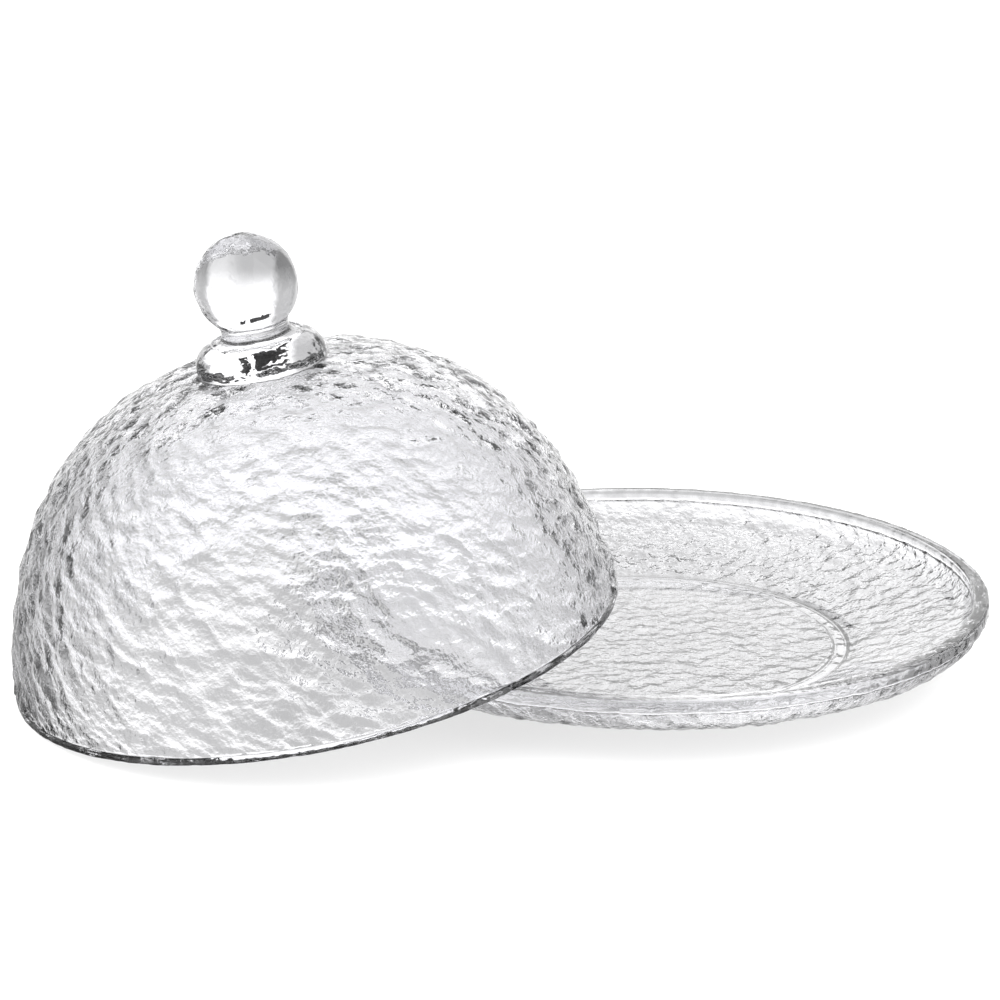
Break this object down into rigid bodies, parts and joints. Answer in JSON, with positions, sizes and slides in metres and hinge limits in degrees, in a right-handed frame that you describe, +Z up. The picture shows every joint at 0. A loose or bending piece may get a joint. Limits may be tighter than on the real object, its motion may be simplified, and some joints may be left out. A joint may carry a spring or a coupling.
{
  "type": "covered serving tray",
  "caption": "Footed round serving plate in clear pressed glass with a domed, ball-knobbed glass cover leaning on its rim.",
  "frame": {"origin": "middle of the plate's foot ring, on the table", "axes": "+Z up; +X from the cover towards the plate, along the line of their centres; the set is laid out about the XZ plane"},
  "size_m": [0.4007, 0.28, 0.1853],
  "materials": {
    "plate_glass": "clear pressed glass, fire-polished and smooth inside, hewn relief underneath",
    "cover_glass": "clear pressed glass, smooth inside, hewn relief outside, smooth knob"
  },
  "bodies": {
    "root": {"plate": "plate_glass", "cover": "cover_glass"}
  },
  "joints": []
}
